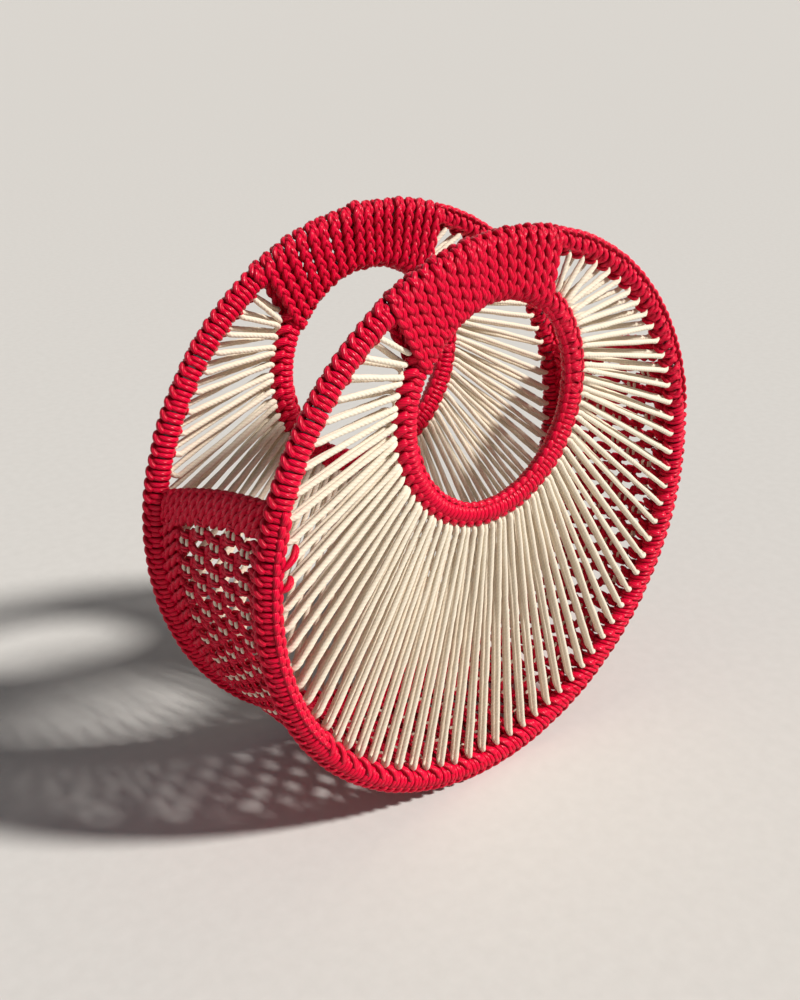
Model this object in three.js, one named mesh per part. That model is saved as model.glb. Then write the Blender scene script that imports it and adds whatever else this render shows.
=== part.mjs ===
// Round macrame evening bag: two laced hoop panels, wound grips and a knotted net gusset.
// Lengths are millimetres and angles are degrees. +Z is up and the front panel faces -Y.
// Angles run round a hoop's centre from +X over the top, as seen from the front.
// The origin lies on the ground, midway between the two panels.
import * as THREE from 'three'

// Hoops: steel rings, one small ring set high inside each large ring
const outerHoopRadius = 150
const innerHoopRadius = 59
const hoopWireRadius = 2.5
const innerHoopOffset = 70.3
const innerHoopDirectionAngle = 97
const panelSpacing = 99.4

// Knotted red covers on the hoops, flattened where the bag rests
const outerCoverRadius = 7
const innerCoverRadius = 5.2
const coverClearance = 0.3
const restFlatDepth = 0.5
const restFlatHalfAngle = 3.5
const outerCoverSteps = 21
const innerCoverSteps = 22

// Grips: red cord wound over both bare hoops at the top
const gripTurns = 17
const gripCordThickness = 4.6
const gripCordWidth = 6.2
const gripSelfGap = 0.55
const gripHoopClearance = 0.55
const gripEndGap = 3
const leastGapAllowed = 0.4
const innerGripStartAngle = 55
const innerGripEndAngle = 147

// Cream lacing: a front and a back run for each of the outer ring's knots
const laceRuns = 69
const laceLengths = 5
const laceCordSide = 3.1
const laceLayerOffset = 2.2
const laceOuterClearance = 0.9
const laceInnerClearance = 0.6
const laceOuterMargin = 6.8
const laceInnerMargin = 5.7
const laceOuterSpreadShare = 0.25
const laceInnerSpreadShare = 0.15

// Gusset: a net strip round the bottom and sides, with a solid bar at each end
const gussetThickness = 4
const gussetBarThickness = 6
const gussetBarLength = 10
const gussetBorder = 13
const gussetSeamGap = 0.45
const gussetJoinGap = 0.3
const gussetBottomHalfAngle = 7
const netColumns = 5
const netRowLength = 12
const netHoleShare = 0.42

// What differs between the panels: where the grip and the gusset's two ends lie on each
const panels = [
  {
    name: 'front',
    side: -1,
    gripStartAngle: 78,
    gripEndAngle: 121.8,
    gussetLeftAngle: 160.5,
    gussetRightAngle: 30.5,
  },
  {
    name: 'rear',
    side: 1,
    gripStartAngle: 74,
    gripEndAngle: 121.4,
    gussetLeftAngle: 168.5,
    gussetRightAngle: 19.5,
  },
]

// What follows from the sizes above
const gripCordOffset = hoopWireRadius + gripHoopClearance + gripCordThickness / 2
const laceCornerReach = laceCordSide / 2
const gussetHalfWidth = panelSpacing / 2 - outerCoverRadius - gussetSeamGap
const straightDown = 270
const fullTurn = 360
const hoopSides = 6
const hoopSteps = 60
const coverSides = 8
const boreSides = 4
const arcSteps = 5
const gripSides = 6
const gripArcShare = 0.34
const samplesPerStep = 6

const materials = {
  steel: () => new THREE.MeshStandardMaterial({ color: 0x8a8a8c, metalness: 0.9, roughness: 0.35 }),
  redCord: () => new THREE.MeshStandardMaterial({ color: 0xc30a26, roughness: 0.5 }),
  creamCord: () => new THREE.MeshStandardMaterial({ color: 0xe9dcc6, roughness: 0.9 }),
}

const outerCentre = {
  x: 0,
  z: outerHoopRadius + outerCoverRadius - restFlatDepth,
}
const innerCentre = {
  x: outerCentre.x + innerHoopOffset * cosine(innerHoopDirectionAngle),
  z: outerCentre.z + innerHoopOffset * sine(innerHoopDirectionAngle),
}

// The two arcs of a grip loop: over the outer hoop, then round the inner one
const gripParts = [
  {
    side: 1,
    start: 0.08,
    centre: outerCentre,
    radius: outerHoopRadius,
    begin: (panel) => panel.gripStartAngle,
    end: (panel) => panel.gripEndAngle,
  },
  {
    side: -1,
    start: 0.58,
    centre: innerCentre,
    radius: innerHoopRadius,
    begin: () => innerGripStartAngle,
    end: () => innerGripEndAngle,
  },
]

function cosine(angle) {
  return Math.cos(THREE.MathUtils.degToRad(angle))
}

function sine(angle) {
  return Math.sin(THREE.MathUtils.degToRad(angle))
}

function lerp(a, b, share) {
  return a + (b - a) * share
}

function arcAngle(length, radius) {
  return THREE.MathUtils.radToDeg(length / radius)
}

function evenSteps(start, end, steps) {
  return Array.from({ length: steps + 1 }, (_, i) => lerp(start, end, i / steps))
}

function onCircle(centre, radius, angle, y) {
  return new THREE.Vector3(centre.x + radius * cosine(angle), y, centre.z + radius * sine(angle))
}

function panelPlane(panel) {
  return panel.side * panelSpacing / 2
}

// Angles of a panel's cover rings, with one flat step at the lowest point
function outerCoverAngles(panel) {
  const gap = arcAngle(gripEndGap, outerHoopRadius)
  const start = panel.gripEndAngle + gap
  const end = panel.gripStartAngle + fullTurn - gap
  return [
    ...evenSteps(start, straightDown - restFlatHalfAngle, outerCoverSteps),
    ...evenSteps(straightDown + restFlatHalfAngle, end, outerCoverSteps),
  ]
}

function innerCoverAngles() {
  const gap = arcAngle(gripEndGap, innerHoopRadius)
  return evenSteps(innerGripEndAngle + gap, innerGripStartAngle + fullTurn - gap, innerCoverSteps)
}

// A hoop shares its cover's angles, so that the gap between them stays even
function hoopAngles(coverAngles) {
  const start = coverAngles[coverAngles.length - 1]
  const end = coverAngles[0] + fullTurn
  const steps = Math.ceil((end - start) * hoopSteps / fullTurn)
  return [...coverAngles, ...evenSteps(start, end, steps).slice(1, -1)]
}

// One regular section across a hoop, with a side facing straight out
function hoopSection(centre, ringRadius, angle, y, sides, cornerRadius) {
  return Array.from({ length: sides }, (_, k) => {
    const turn = (k + 0.5) * fullTurn / sides
    const radius = ringRadius + cornerRadius * cosine(turn)
    return onCircle(centre, radius, angle, y + cornerRadius * sine(turn))
  })
}

// Joins rings of points into a tube, closed on itself or capped at both ends
function joinRings(rings, closed) {
  const sides = rings[0].length
  const points = rings.flat()
  const faces = []
  const spans = closed ? rings.length : rings.length - 1
  for (let i = 0; i < spans; i++) {
    addBand(faces, i * sides, ((i + 1) % rings.length) * sides, sides)
  }
  if (!closed) {
    const last = (rings.length - 1) * sides
    for (let k = 1; k < sides - 1; k++) {
      faces.push([0, k, k + 1], [last, last + k + 1, last + k])
    }
  }
  return outwardGeometry(points, faces)
}

function addBand(faces, from, to, sides) {
  for (let k = 0; k < sides; k++) {
    const next = (k + 1) % sides
    faces.push([from + k, to + next, from + next], [from + k, to + k, to + next])
  }
}

// Builds a geometry and turns every face round if the volume comes out negative
function outwardGeometry(points, faces) {
  let volume = 0
  for (const [a, b, c] of faces) {
    volume += points[a].dot(points[b].clone().cross(points[c]))
  }
  const index = faces.flatMap(([a, b, c]) => (volume > 0 ? [a, b, c] : [a, c, b]))
  const geometry = new THREE.BufferGeometry()
  const numbers = points.flatMap((point) => point.toArray())
  geometry.setAttribute('position', new THREE.Float32BufferAttribute(numbers, 3))
  geometry.setIndex(index)
  geometry.computeVertexNormals()
  return geometry
}

function hoop(centre, radius, y, angles) {
  const rings = angles.map((angle) => hoopSection(centre, radius, angle, y, hoopSides, hoopWireRadius))
  return joinRings(rings, true)
}

// A sleeve with a square bore: the outside and the bore are joined at both open ends
function cover(centre, radius, y, angles, coverRadius) {
  const outsideCorner = coverRadius / cosine(fullTurn / coverSides / 2)
  const boreCorner = (hoopWireRadius + coverClearance) / cosine(fullTurn / boreSides / 2)
  const outside = angles.map((angle) => hoopSection(centre, radius, angle, y, coverSides, outsideCorner))
  const bore = angles.map((angle) => hoopSection(centre, radius, angle, y, boreSides, boreCorner))
  for (const point of outside.flat()) {
    point.z = Math.max(point.z, 0)
  }
  const points = [...outside.flat(), ...bore.flat()]
  const boreStart = outside.length * coverSides
  const faces = []
  for (let i = 0; i < angles.length - 1; i++) {
    addBand(faces, i * coverSides, (i + 1) * coverSides, coverSides)
    addBand(faces, boreStart + (i + 1) * boreSides, boreStart + i * boreSides, boreSides)
  }
  addSleeveEnd(faces, 0, boreStart, false)
  addSleeveEnd(faces, boreStart - coverSides, points.length - boreSides, true)
  return outwardGeometry(points, faces)
}

// Fills between an end's outline and its bore, which has half as many corners
function addSleeveEnd(faces, outline, bore, farEnd) {
  for (let k = 0; k < boreSides; k++) {
    const next = (k + 1) % boreSides
    const a = outline + 2 * k
    const b = outline + 2 * k + 1
    const c = outline + (2 * k + 2) % coverSides
    const filled = [[a, b, bore + k], [b, bore + next, bore + k], [b, c, bore + next]]
    for (const [p, q, r] of filled) {
      faces.push(farEnd ? [p, r, q] : [p, q, r])
    }
  }
}

// One corner of the grip's cord: its place and the way out of the loop there. Each loop goes over
// the outer hoop from back to front, then round the inner hoop from front to back.
function gripCorner(panel, loop, part, step) {
  const share = (loop + part.start + gripArcShare * step / arcSteps) / gripTurns
  const angle = lerp(part.end(panel), part.begin(panel), share)
  const around = Math.PI * step / arcSteps
  const normal = onCircle({ x: 0, z: 0 }, part.side * Math.sin(around), angle, part.side * Math.cos(around))
  const point = onCircle(part.centre, part.radius, angle, panelPlane(panel))
  return { point: point.addScaledVector(normal, gripCordOffset), normal }
}

// The whole winding as corners, with a straight half run at each end, on the back
function gripCorners(panel) {
  const corners = []
  for (let loop = 0; loop < gripTurns; loop++) {
    for (const part of gripParts) {
      for (let step = 0; step <= arcSteps; step++) {
        corners.push(gripCorner(panel, loop, part, step))
      }
    }
  }
  const before = gripCorner(panel, -1, gripParts[1], arcSteps)
  const after = gripCorner(panel, gripTurns, gripParts[0], 0)
  return [halfway(before, corners[0]), ...corners, halfway(corners[corners.length - 1], after)]
}

function halfway(from, to) {
  return { point: from.point.clone().lerp(to.point, 0.5), normal: from.normal.clone() }
}

// The cord is as wide as the neighbouring turns leave room for, so it narrows round the inner hoop
function gripWidth(corners, i) {
  const perLoop = gripParts.length * (arcSteps + 1)
  const spacings = [i - perLoop, i + perLoop].map((n) => distanceToRun(corners[i].point, corners, n))
  return Math.min(gripCordWidth, Math.min(...spacings) - gripSelfGap)
}

// How far a point is from the two straight pieces that meet at a corner
function distanceToRun(point, corners, i) {
  const nearest = new THREE.Vector3()
  const distances = [i - 1, i].map((first) => {
    if (!corners[first] || !corners[first + 1]) return Infinity
    new THREE.Line3(corners[first].point, corners[first + 1].point).closestPointToPoint(point, true, nearest)
    return point.distanceTo(nearest)
  })
  return Math.min(...distances)
}

function gripRing(corners, i) {
  const { point, normal } = corners[i]
  const previous = corners[Math.max(i - 1, 0)].point
  const next = corners[Math.min(i + 1, corners.length - 1)].point
  const into = i > 0 ? point.clone().sub(previous).normalize() : new THREE.Vector3()
  const out = i < corners.length - 1 ? next.clone().sub(point).normalize() : new THREE.Vector3()
  const along = into.add(out).normalize()
  const across = along.clone().cross(normal).normalize()
  const outward = across.clone().cross(along)
  const halfWidth = gripWidth(corners, i) / 2
  const halfThickness = gripCordThickness / 2 / cosine(fullTurn / gripSides / 2)
  return Array.from({ length: gripSides }, (_, k) => {
    const turn = k * fullTurn / gripSides
    return point.clone()
      .addScaledVector(across, halfWidth * cosine(turn))
      .addScaledVector(outward, halfThickness * sine(turn))
  })
}

function gripWinding(panel) {
  const corners = gripCorners(panel)
  reportLeastGap(`${panel.name}_grip_winding`, corners)
  return joinRings(corners.map((_, i) => gripRing(corners, i)), false)
}

// Measures the winding's least gap to itself on points along its centre line
function reportLeastGap(name, corners) {
  const samples = []
  for (let i = 0; i < corners.length - 1; i++) {
    for (let k = 0; k < samplesPerStep; k++) {
      const share = k / samplesPerStep
      const point = corners[i].point.clone().lerp(corners[i + 1].point, share)
      samples.push({ point, width: lerp(gripWidth(corners, i), gripWidth(corners, i + 1), share) })
    }
  }
  const halfLoop = samplesPerStep * (arcSteps + 1)
  let least = Infinity
  for (let i = 0; i < samples.length; i++) {
    for (let k = i + halfLoop; k < samples.length; k++) {
      const width = (samples[i].width + samples[k].width) / 2
      least = Math.min(least, samples[i].point.distanceTo(samples[k].point) - width)
    }
  }
  const verdict = least > leastGapAllowed ? 'clear' : 'TOO CLOSE'
  console.log(`${name}: least gap to itself ${least.toFixed(2)} mm, ${verdict}`)
}

// A square cord that goes to and fro between pairs of points, with a short crossing between runs
function squareCord(points) {
  const rings = []
  for (let i = 0; i < points.length; i += 2) {
    const along = direction(points[i], points[i + 1])
    const turned = i % 4 === 0 ? 1 : -1
    const across = new THREE.Vector3(0, turned, 0).cross(along).normalize()
    const up = new THREE.Vector3(0, turned, 0)
    const into = i > 0 ? direction(points[i - 1], points[i]) : along
    const out = i + 2 < points.length ? direction(points[i + 1], points[i + 2]) : along
    rings.push(squareRing(points[i], along, into, across, up))
    rings.push(squareRing(points[i + 1], along, out, across, up))
  }
  return joinRings(rings, false)
}

function direction(from, to) {
  return to.clone().sub(from).normalize()
}

// Four corners of the cord, slid along it towards the plane that halves the bend
function squareRing(point, along, neighbour, across, up) {
  const cut = along.clone().add(neighbour).normalize()
  return [[-1, -1], [1, -1], [1, 1], [-1, 1]].map(([a, b]) => {
    const corner = across.clone().multiplyScalar(a).addScaledVector(up, b).multiplyScalar(laceCordSide / 2)
    const slide = THREE.MathUtils.clamp(-corner.dot(cut) / along.dot(cut), -laceCornerReach, laceCornerReach)
    return corner.addScaledVector(along, slide).add(point)
  })
}

// The lacing's ends on a panel's rings, at a count of runs from the left of the grip
function laceOuterPoint(panel, run, layer) {
  const margin = arcAngle(laceOuterMargin, outerHoopRadius)
  const start = panel.gripEndAngle + margin
  const end = panel.gripStartAngle + fullTurn - margin
  const radius = outerHoopRadius - outerCoverRadius - laceOuterClearance - laceCornerReach
  const y = panelPlane(panel) + layer * panel.side * laceLayerOffset
  return onCircle(outerCentre, radius, lerp(start, end, run / laceRuns), y)
}

function laceInnerPoint(panel, run, layer) {
  const margin = arcAngle(laceInnerMargin, innerHoopRadius)
  const start = innerGripEndAngle + margin
  const end = innerGripStartAngle + fullTurn - margin
  const radius = innerHoopRadius + innerCoverRadius + laceInnerClearance + laceCornerReach
  const y = panelPlane(panel) + layer * panel.side * laceLayerOffset
  return onCircle(innerCentre, radius, lerp(start, end, run / laceRuns), y)
}

// One length of lacing: out and in between the rings, outer layer first
function laceLength(panel, firstRun, lastRun) {
  const points = []
  for (let run = firstRun; run < lastRun; run++) {
    const middle = run + 0.5
    points.push(laceOuterPoint(panel, middle - laceOuterSpreadShare, 1))
    points.push(laceInnerPoint(panel, middle - laceInnerSpreadShare, 1))
    points.push(laceInnerPoint(panel, middle + laceInnerSpreadShare, -1))
    points.push(laceOuterPoint(panel, middle + laceOuterSpreadShare, -1))
  }
  return squareCord(points)
}

// A point of the gusset: how far across from front to rear, how far round, and which face
function gussetPoint(across, angle, lift) {
  const y = lerp(-gussetHalfWidth, gussetHalfWidth, across)
  return onCircle(outerCentre, outerHoopRadius + lift, angle, y)
}

// Where the columns of the gusset change, as shares of its width
function gussetColumns() {
  const border = gussetBorder / (2 * gussetHalfWidth)
  return [0, ...evenSteps(border, 1 - border, netColumns), 1]
}

// A stretch of the gusset between two end lines, each given as angles at the front and the rear
function gussetStretch(start, end, thickness, holes) {
  const columns = gussetColumns()
  const length = Math.abs(start[0] + start[1] - end[0] - end[1]) / 2
  const rowCount = holes ? Math.round(length / arcAngle(netRowLength, outerHoopRadius)) : 1
  const points = []
  const faces = []
  const place = (column, row) => {
    const whole = Math.floor(column)
    const across = lerp(columns[whole], columns[Math.min(whole + 1, columns.length - 1)], column - whole)
    const from = lerp(start[0], start[1], across)
    const to = lerp(end[0], end[1], across)
    const angle = lerp(from, to, row / rowCount)
    points.push(gussetPoint(across, angle, thickness / 2), gussetPoint(across, angle, -thickness / 2))
    return points.length - 2
  }
  const grid = columns.map((_, column) => evenSteps(0, rowCount, rowCount).map((row) => place(column, row)))
  // Each point has its twin on the inner face as the next index
  const twoFaces = (a, b, c) => faces.push([a, b, c], [a + 1, c + 1, b + 1])
  const wall = (a, b) => faces.push([a, a + 1, b + 1], [a, b + 1, b])
  for (let column = 0; column < columns.length - 1; column++) {
    for (let row = 0; row < rowCount; row++) {
      const [near, far] = [grid[column], grid[column + 1]]
      const corners = [near[row], far[row], far[row + 1], near[row + 1]]
      const inNet = column > 0 && column < columns.length - 2
      if (holes && inNet && (column + row) % 2 === 0) {
        const low = 0.5 - netHoleShare
        const high = 0.5 + netHoleShare
        const hole = [
          place(column + 0.5, row + low),
          place(column + high, row + 0.5),
          place(column + 0.5, row + high),
          place(column + low, row + 0.5),
        ]
        for (let k = 0; k < 4; k++) {
          const next = (k + 1) % 4
          twoFaces(corners[k], corners[next], hole[k])
          twoFaces(corners[next], hole[next], hole[k])
          wall(hole[next], hole[k])
        }
      } else {
        twoFaces(corners[0], corners[1], corners[2])
        twoFaces(corners[0], corners[2], corners[3])
      }
      if (column === 0) wall(corners[3], corners[0])
      if (column === columns.length - 2) wall(corners[1], corners[2])
      if (row === 0) wall(corners[0], corners[1])
      if (row === rowCount - 1) wall(corners[2], corners[3])
    }
  }
  return outwardGeometry(points, faces)
}

function addMesh(name, geometry, material) {
  const mesh = new THREE.Mesh(geometry, material())
  mesh.name = name
  group.add(mesh)
}

function addPanel(panel) {
  const y = panelPlane(panel)
  const outerAngles = outerCoverAngles(panel)
  const innerAngles = innerCoverAngles()
  const outerHoop = hoop(outerCentre, outerHoopRadius, y, hoopAngles(outerAngles))
  const innerHoop = hoop(innerCentre, innerHoopRadius, y, hoopAngles(innerAngles))
  const outerCover = cover(outerCentre, outerHoopRadius, y, outerAngles, outerCoverRadius)
  const innerCover = cover(innerCentre, innerHoopRadius, y, innerAngles, innerCoverRadius)
  addMesh(`${panel.name}_outer_hoop`, outerHoop, materials.steel)
  addMesh(`${panel.name}_inner_hoop`, innerHoop, materials.steel)
  addMesh(`${panel.name}_outer_cover`, outerCover, materials.redCord)
  addMesh(`${panel.name}_inner_cover`, innerCover, materials.redCord)
  addMesh(`${panel.name}_grip_winding`, gripWinding(panel), materials.redCord)
  for (let i = 0; i < laceLengths; i++) {
    const first = Math.round(i * laceRuns / laceLengths)
    const last = Math.round((i + 1) * laceRuns / laceLengths)
    addMesh(`${panel.name}_lacing_${i + 1}`, laceLength(panel, first, last), materials.creamCord)
  }
}

function addGusset() {
  const [front, rear] = panels
  const barAngle = arcAngle(gussetBarLength, outerHoopRadius)
  const gapAngle = arcAngle(gussetJoinGap, outerHoopRadius)
  const shift = (line, angle) => line.map((value) => value + angle)
  const leftEnd = [front.gussetLeftAngle, rear.gussetLeftAngle]
  const rightEnd = [front.gussetRightAngle + fullTurn, rear.gussetRightAngle + fullTurn]
  const bottomLeft = straightDown - gussetBottomHalfAngle
  const bottomRight = straightDown + gussetBottomHalfAngle
  const leftNet = [shift(leftEnd, barAngle + gapAngle), shift([bottomLeft, bottomLeft], -gapAngle)]
  const rightNet = [shift([bottomRight, bottomRight], gapAngle), shift(rightEnd, -barAngle - gapAngle)]
  const stretches = [
    ['gusset_left_bar', leftEnd, shift(leftEnd, barAngle), gussetBarThickness, false],
    ['gusset_left_net', ...leftNet, gussetThickness, true],
    ['gusset_bottom_net', [bottomLeft, bottomLeft], [bottomRight, bottomRight], gussetThickness, true],
    ['gusset_right_net', ...rightNet, gussetThickness, true],
    ['gusset_right_bar', shift(rightEnd, -barAngle), rightEnd, gussetBarThickness, false],
  ]
  for (const [name, start, end, thickness, holes] of stretches) {
    addMesh(name, gussetStretch(start, end, thickness, holes), materials.redCord)
  }
}

const group = new THREE.Group()
panels.forEach(addPanel)
addGusset()

export default group
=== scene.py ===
# %% [markdown]
# # Dressing a round macrame evening bag
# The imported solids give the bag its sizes: two hoop panels, a wound grip on each, cream lacing
# and a narrow net between the panels. This lesson keeps those sizes and turns every plain ring
# into knotted cord. All lengths below are in millimetres and become metres in the last step.

# %% Load the frame
import math

import bpy
import numpy as np
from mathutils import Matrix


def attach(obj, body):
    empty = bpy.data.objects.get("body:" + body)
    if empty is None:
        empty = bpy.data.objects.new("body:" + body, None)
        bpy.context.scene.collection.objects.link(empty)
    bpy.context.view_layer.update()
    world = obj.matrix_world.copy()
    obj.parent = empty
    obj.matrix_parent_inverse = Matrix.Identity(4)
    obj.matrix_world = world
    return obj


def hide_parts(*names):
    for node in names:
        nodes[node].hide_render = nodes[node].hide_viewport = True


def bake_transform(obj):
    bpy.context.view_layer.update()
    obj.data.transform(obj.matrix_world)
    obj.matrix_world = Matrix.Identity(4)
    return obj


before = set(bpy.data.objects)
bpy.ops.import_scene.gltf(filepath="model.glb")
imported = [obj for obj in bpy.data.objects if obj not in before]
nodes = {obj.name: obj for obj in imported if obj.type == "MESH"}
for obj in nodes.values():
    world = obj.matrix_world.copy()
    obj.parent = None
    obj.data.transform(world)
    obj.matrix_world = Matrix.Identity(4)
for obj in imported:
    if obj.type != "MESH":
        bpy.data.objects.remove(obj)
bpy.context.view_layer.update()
MM = 0.001

# %% [markdown]
# ## The sizes shared with the solids
# A maker starts with the two steel hoops. Everything else is counted along them, so their radii
# and centres come first, then the angles where each grip begins and ends. Angles run round a
# hoop from the right over the top, as seen from the front. The side says where a panel stands,
# and worked is the way its cord turns round the wire, for the covers' knots of both panels face
# the same way.

# %% Hoops and panels
OUTER_RADIUS = 150.0
INNER_RADIUS = 59.0
WIRE_RADIUS = 2.5
OUTER_CENTRE = np.array([0.0, 156.5])
INNER_OFFSET = 70.3
INNER_DIRECTION = math.radians(97)
TOWARDS_INNER = np.array([math.cos(INNER_DIRECTION), math.sin(INNER_DIRECTION)])
INNER_CENTRE = OUTER_CENTRE + INNER_OFFSET * TOWARDS_INNER
PANEL_DISTANCE = 49.7
PANELS = {
    "front": {"side": -1.0, "worked": 1, "grip": (78.0, 121.8), "seed": 11},
    "rear": {"side": 1.0, "worked": -1, "grip": (74.0, 121.4), "seed": 23},
}
print("inner hoop centre:", INNER_CENTRE.round(2))

# %% [markdown]
# ## Places on a ring
# A cord that is wound on a ring needs two angles: how far round the ring it is, and how far
# round the wire. The second one starts at the side away from the ring's centre and turns over
# the panel's outer face. This function gives the point and the way out of the wire there.


# %% Point on a ring
def on_ring(panel, centre, ring_radius, around_ring, around_wire, distance):
    """Points at a distance from the wire of a ring, and the direction out of the wire."""
    ring = np.radians(np.asarray(around_ring, float))
    wire = np.radians(np.asarray(around_wire, float))
    ring, wire, distance = np.broadcast_arrays(ring, wire, np.asarray(distance, float))
    side = PANELS[panel]["side"]
    out = np.stack([np.cos(wire) * np.cos(ring), side * np.sin(wire), np.cos(wire) * np.sin(ring)], -1)
    radial = np.stack([np.cos(ring), 0 * ring, np.sin(ring)], -1)
    middle = np.array([centre[0], side * PANEL_DISTANCE, centre[1]])
    return middle + ring_radius * radial + distance[..., None] * out, out


print("lowest point:", on_ring("front", OUTER_CENTRE, OUTER_RADIUS, 270, 0, 6.5)[0].round(2))

# %% [markdown]
# ## Along a path
# Every cord of the bag is a path, with a way out that looks away from what it is wound on. These
# helpers measure a path, round its corners and give even places along it. A curve object could
# do the same for one cord, but it can't swing three yarns over each other.


# %% Path helpers
def path_length(path):
    return float(np.linalg.norm(np.diff(path, axis=0), axis=1).sum())


def unit(vectors):
    return vectors / np.maximum(np.linalg.norm(vectors, axis=-1, keepdims=True), 1e-9)


def along_path(path, values, places):
    """Values given at the path's points, read at other distances along the path."""
    reach = np.concatenate([[0.0], np.cumsum(np.linalg.norm(np.diff(path, axis=0), axis=1))])
    return np.stack([np.interp(places, reach, values[:, i]) for i in range(3)], -1)


def smooth_path(points, per_span):
    """A Catmull-Rom curve through the points."""
    points = np.asarray(points, float)
    padded = np.vstack([2 * points[0] - points[1], points, 2 * points[-1] - points[-2]])
    t = np.linspace(0, 1, per_span, endpoint=False)[:, None]
    spans = []
    for i in range(len(points) - 1):
        a, b, c, d = padded[i:i + 4]
        spans.append(0.5 * (2 * b + (c - a) * t + (2 * a - 5 * b + 4 * c - d) * t ** 2
                            + (3 * b - a - 3 * c + d) * t ** 3))
    return np.vstack(spans + [points[-1:]])


corner = smooth_path([(0, 0, 0), (10, 0, 0), (10, 10, 0)], 4)
print("a rounded corner:", len(corner), "points,", round(path_length(corner), 1), "mm")


# %% Frame of a cord
THIN_END = 0.15


def cord_frame(path, outward, spacing):
    """Even places along a path, with the middle line and the ways out and sideways there."""
    place = np.linspace(0, path_length(path), max(6, int(path_length(path) / spacing) + 1))
    middle, out = along_path(path, path, place), along_path(path, outward, place)
    forward = unit(np.gradient(middle, axis=0))
    out = unit(out - (out * forward).sum(-1, keepdims=True) * forward)
    return place, middle, out, np.cross(forward, out)


def taper(place, length):
    """Grows from thin at both ends to one over the given length."""
    if not length:
        return np.ones(len(place))
    end = np.clip(np.minimum(place, place[-1] - place) / length, 0, 1)
    return THIN_END + (1 - THIN_END) * np.sqrt(end * (2 - end))


print("width of a cord's end, every 2 mm:", taper(np.arange(0, 13, 2.0), 6).round(2))

# %% [markdown]
# ## One plaited cord
# The red cord is a flat plait of three round yarns, like a braid of hair: every yarn swings from
# edge to edge, and passes over the others on its way in to the middle. It could be a plain
# ribbon with a bump map, but then every edge would be straight and every shadow would be
# missing. Here each yarn is a tube of its own, so the V shapes, the dimples between them and
# the bumpy outline come by themselves.


# %% One yarn
YARN_SIDES = 8


def yarn_tube(line, out, place, half_width, half_height, height, reach, sides):
    """Grid of one yarn with its places and its crease, which is one low down and nought on top and sets the
    painted shade in the creases.
    """
    heading = unit(np.gradient(line, axis=0))
    up = unit(out - (out * heading).sum(-1, keepdims=True) * heading)
    across = np.cross(heading, up)
    turn = np.arange(sides) / sides * 2 * np.pi
    grid = line[:, None] + np.cos(turn)[None, :, None] * (half_width[:, None] * across)[:, None] \
        + np.sin(turn)[None, :, None] * (half_height[:, None] * up)[:, None]
    level = np.abs(height[:, None] + half_height[:, None] * np.sin(turn)[None]) / reach
    return grid, np.broadcast_to(place[:, None], level.shape), (1 - np.clip(level, 0, 1)) ** 1.5


# %% Three yarns in a plait
YARNS = 3
PLAIT_PERIOD = 18.8
PLAIT_RISE = 0.16
YARN_SHARE = 0.22
CORE_SHARES = (0.36, 0.3)


def plait(path, outward, width, thickness, spacing=1.0, tip=0.0, start=0.0, sides=YARN_SIDES,
          core=False, share=YARN_SHARE):
    """The three yarns of one flat plaited cord, which run nearly straight from edge to edge. A core
    fills the gaps between them where one could look through."""
    place, middle, out, sideways = cord_frame(path, outward, spacing)
    widths = np.interp(place / place[-1], np.linspace(0, 1, np.size(width)), np.atleast_1d(width))
    fade = taper(place, tip)
    half_width = share * widths * fade
    swing = widths * fade / 2 - half_width
    rise = PLAIT_RISE * thickness * fade
    half_height = thickness * fade / 2 - rise
    yarns = []
    for yarn in range(YARNS):
        phase = 2 * np.pi * (place / PLAIT_PERIOD + start + yarn / YARNS)
        height = -rise * np.sin(2 * phase)
        zigzag = 0.9 * (np.sin(phase) - np.sin(3 * phase) / 9)
        line = middle + (swing * zigzag)[:, None] * sideways + height[:, None] * out
        yarns.append(yarn_tube(line, out, place, half_width, half_height, height, thickness / 2, sides))
    if core:
        few = slice(None, None, 3)
        half_width, half_height = CORE_SHARES[0] * widths * fade, CORE_SHARES[1] * thickness * fade
        # Painted shade: with the full thickness as its reach, the core's crease value stays high, so the
        # red material paints it dark, as shade between the yarns.
        yarns.append(yarn_tube(middle[few], out[few], place[few], half_width[few], half_height[few],
                               0 * place[few], thickness, sides))
    return yarns


line = np.array([[0, 0, 0], [20.0, 0, 0]])
upward = np.array([[0, 0, 1.0], [0, 0, 1.0]])
print("20 mm of plait:", [yarn[0].shape for yarn in plait(line, upward, 6, 4)])

# %% [markdown]
# ## Rungs and loops
# Pulled tight round something, the plait settles into two rungs side by side, and a loop that is
# pulled up on its own shows as one fat yarn. The full plait would cost more faces here and look
# less like the work, for its V marks are gone in these places.


# %% Rungs and loops
RUNG_SHARE = 0.285


def single(path, outward, width, thickness, tip=0.0, spacing=1.0, sides=YARN_SIDES):
    """One fat yarn, as a loop shows that is pulled up on its own."""
    place, middle, out, _ = cord_frame(path, outward, spacing)
    fade = taper(place, tip)
    half_width, half_height = width / 2 * fade, thickness / 2 * fade
    return [yarn_tube(middle, out, place, half_width, half_height, 0 * fade, thickness / 2, sides)]


def pair(path, outward, width, thickness, turns=0.0, tip=0.0, spacing=1.0, sides=YARN_SIDES):
    """Two yarns side by side, as the cord shows where it is pulled tight round something."""
    place, middle, out, sideways = cord_frame(path, outward, spacing)
    fade = taper(place, tip)
    yarns = []
    for sign in (-1, 1):
        angle = 2 * np.pi * turns * (place / place[-1] - 0.5)
        aside = sign * width / 4 * fade * np.cos(angle)
        height = sign * thickness / 5 * fade * np.sin(angle)
        line = middle + aside[:, None] * sideways + height[:, None] * out
        yarns.append(yarn_tube(line, out, place, RUNG_SHARE * width * fade, thickness / 2 * fade, height,
                               thickness / 2, sides))
    return yarns


print("yarns in a loop and in a rung:", len(single(line, upward, 4, 3)), len(pair(line, upward, 5, 3)))

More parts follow.
